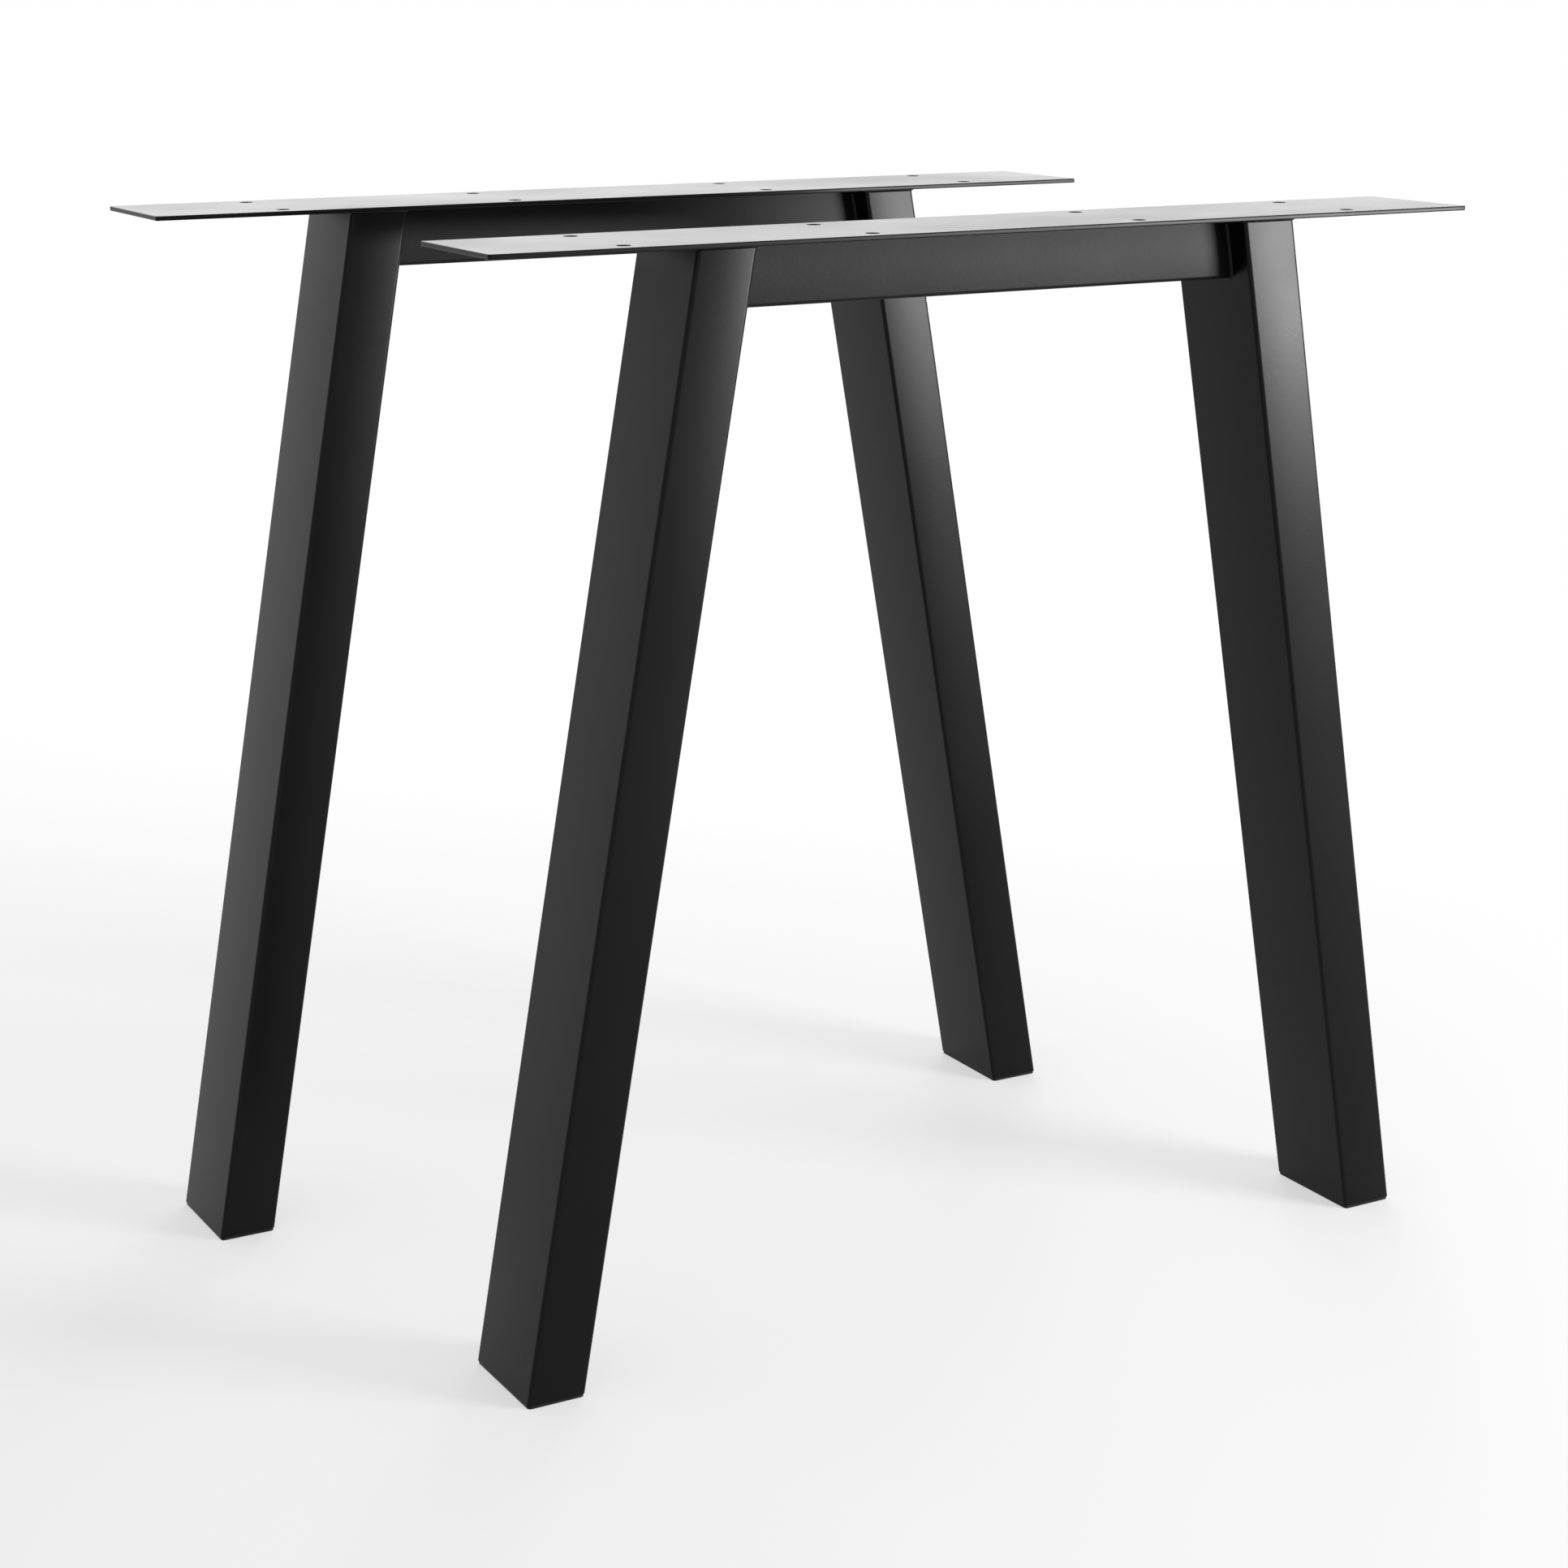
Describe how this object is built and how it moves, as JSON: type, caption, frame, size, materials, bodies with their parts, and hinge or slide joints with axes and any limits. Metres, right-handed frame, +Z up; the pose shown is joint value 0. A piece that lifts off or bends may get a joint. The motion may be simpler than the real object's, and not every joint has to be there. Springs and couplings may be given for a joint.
{
  "type": "pair of table trestles",
  "caption": "Welded A-frame table trestles in black powder-coated steel: drilled flat plate on slanted rectangular tubes with a square crossbar, to carry a table top.",
  "frame": {"origin": "on the floor, at the middle of the pair's outline", "axes": "+X along the top plates, +Y from the front trestle to the rear one, +Z up"},
  "size_m": [0.805, 0.45, 0.727],
  "materials": {
    "black_powder_coat": "satin black powder coat with a fine texture on welded mild steel",
    "foot_plastic": "matt black moulded plastic"
  },
  "bodies": {
    "front_trestle": {"front_top_plate": "black_powder_coat", "front_left_leg": "black_powder_coat", "front_right_leg": "black_powder_coat", "front_crossbar": "black_powder_coat", "front_left_leg_weld": "black_powder_coat", "front_right_leg_weld": "black_powder_coat", "front_crossbar_left_weld": "black_powder_coat", "front_crossbar_right_weld": "black_powder_coat", "front_crossbar_plate_weld": "black_powder_coat", "front_left_foot_plug": "foot_plastic", "front_right_foot_plug": "foot_plastic"},
    "rear_trestle": {"rear_top_plate": "black_powder_coat", "rear_left_leg": "black_powder_coat", "rear_right_leg": "black_powder_coat", "rear_crossbar": "black_powder_coat", "rear_left_leg_weld": "black_powder_coat", "rear_right_leg_weld": "black_powder_coat", "rear_crossbar_left_weld": "black_powder_coat", "rear_crossbar_right_weld": "black_powder_coat", "rear_crossbar_plate_weld": "black_powder_coat", "rear_left_foot_plug": "foot_plastic", "rear_right_foot_plug": "foot_plastic"}
  },
  "joints": [
    {"name": "trestle_spacing", "type": "slide", "parent": "front_trestle", "child": "rear_trestle", "axis": [0, 1, 0], "range_m": [-0.24, 1.2]}
  ]
}
